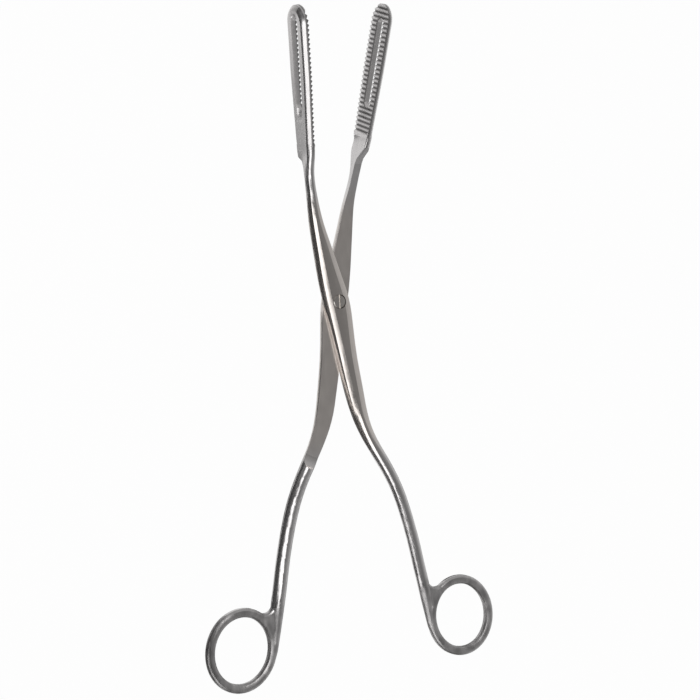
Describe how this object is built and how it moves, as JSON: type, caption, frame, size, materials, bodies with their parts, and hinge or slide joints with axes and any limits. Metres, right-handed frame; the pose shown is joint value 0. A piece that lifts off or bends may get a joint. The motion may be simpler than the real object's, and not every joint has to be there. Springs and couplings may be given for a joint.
{
  "type": "ovum forceps",
  "caption": "Ovum forceps: crossed arms on a screw lock, finger rings, curved fenestrated jaws with cross serrations.",
  "frame": {"origin": "on the axis of the lock screw, at the flat underside of the rear arm, the lower of the two crossed arms", "axes": "+Y up the instrument to the jaws, +X to the side where the rear arm's jaw is, +Z out of the lock towards the screw head"},
  "size_m": [0.1334, 0.2714, 0.0286],
  "materials": {
    "arm_steel": "satin polished surgical stainless steel",
    "screw_steel": "turned and polished stainless steel"
  },
  "bodies": {
    "rear_half": {"rear_arm": "arm_steel", "pivot_screw": "screw_steel"},
    "front_half": {"front_arm": "arm_steel"}
  },
  "joints": [
    {"name": "lock", "type": "hinge", "parent": "rear_half", "child": "front_half", "pos_m": [0, 0, 0.004], "axis": [0, 0, 1], "range_deg": [-17.7, 70]}
  ]
}
